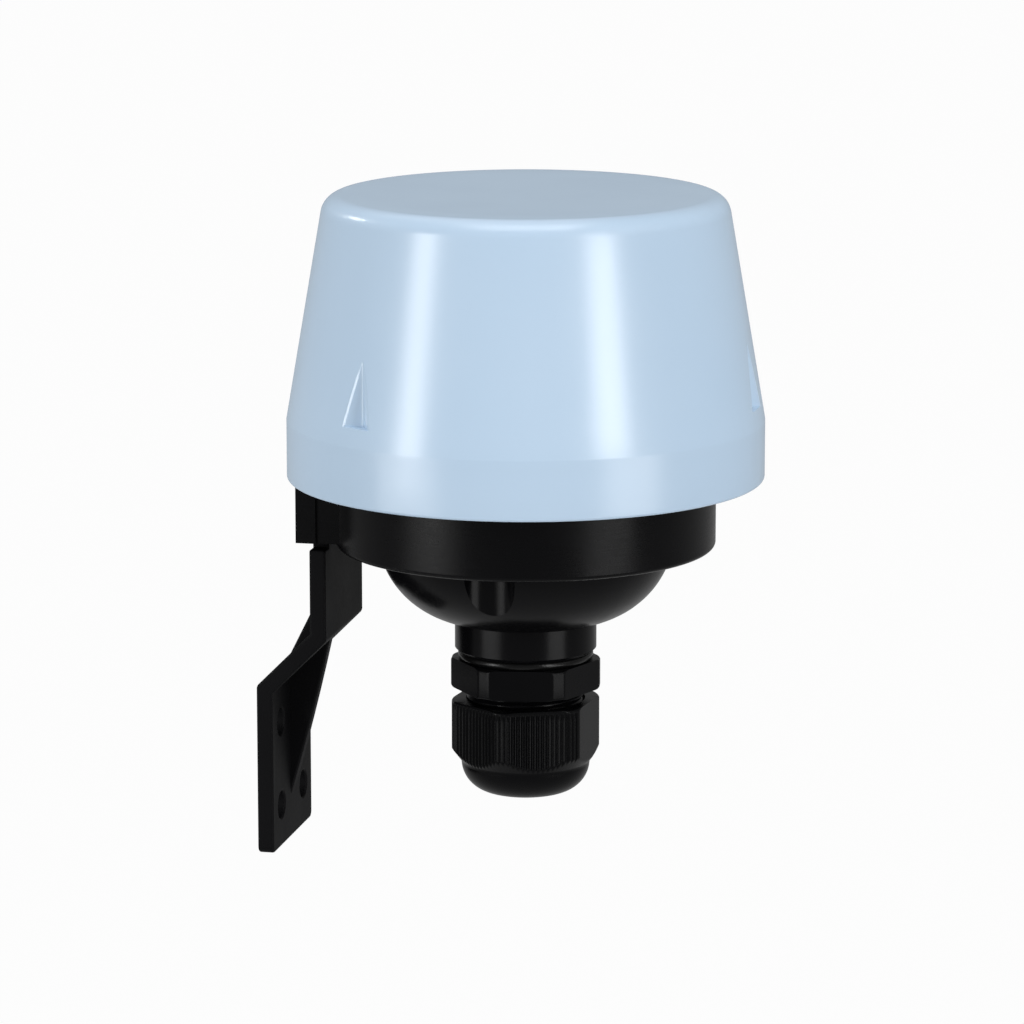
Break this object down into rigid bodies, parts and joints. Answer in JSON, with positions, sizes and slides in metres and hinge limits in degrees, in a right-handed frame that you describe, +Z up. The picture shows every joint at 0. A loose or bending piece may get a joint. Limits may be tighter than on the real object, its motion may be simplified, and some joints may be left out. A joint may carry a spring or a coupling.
{
  "type": "photocell switch",
  "caption": "Dusk-to-dawn photocell switch: milky dome cover on a black moulded base, with a cable gland below and a plug-in wall bracket behind.",
  "frame": {"origin": "centre of the wall-hole pattern, on the bracket's wall face", "axes": "+Z up along the unit's axis, +Y into the wall, -Y towards the front"},
  "size_m": [0.077, 0.0805, 0.108],
  "materials": {
    "milky_cover": "milky translucent gloss",
    "base_plastic": "moulded gloss black",
    "bracket_plastic": "moulded satin black",
    "gland_nylon": "satin black nylon",
    "seal_rubber": "matt black rubber",
    "screw_steel": "zinc plated",
    "board_laminate": "solder-masked laminate",
    "relay_case": "blue moulded case",
    "sensor_ceramic": "coated ceramic",
    "film_case": "yellow box case",
    "can_sleeve": "shrink sleeve",
    "varistor_coat": "dipped blue coat",
    "resistor_coat": "lacquered",
    "diode_case": "moulded epoxy",
    "terminal_plastic": "moulded green",
    "clamp_brass": "bright"
  },
  "bodies": {
    "housing": {"cover": "milky_cover", "cover_seal": "seal_rubber", "base": "base_plastic", "cover_screws": "screw_steel", "wall_bracket": "bracket_plastic", "gland_washer": "seal_rubber", "gland_body": "gland_nylon", "circuit_board": "board_laminate", "board_screws": "screw_steel", "relay": "relay_case", "light_sensor": "sensor_ceramic", "film_capacitor": "film_case", "smoothing_capacitor": "can_sleeve", "varistor": "varistor_coat", "resistors": "resistor_coat", "diodes": "diode_case", "transistor": "diode_case", "terminal_block": "terminal_plastic", "terminal_clamps": "clamp_brass", "terminal_screws": "screw_steel"},
    "clamp": {"gland_claw": "gland_nylon", "gland_seal": "seal_rubber"},
    "nut": {"gland_nut": "gland_nylon"}
  },
  "joints": [
    {"name": "nut_travel", "type": "slide", "parent": "housing", "child": "clamp", "axis": [0, 0, 1], "range_m": [-0.0045, 0.0015]},
    {"name": "nut_turn", "type": "hinge", "parent": "clamp", "child": "nut", "pos_m": [0, -0.042, 0.007], "axis": [0, 0, 1], "range_deg": [-1082, 362]}
  ],
  "couplings": [
    {"joint": "nut_turn", "follows": "nut_travel", "rad_per_m": 4188.8}
  ]
}
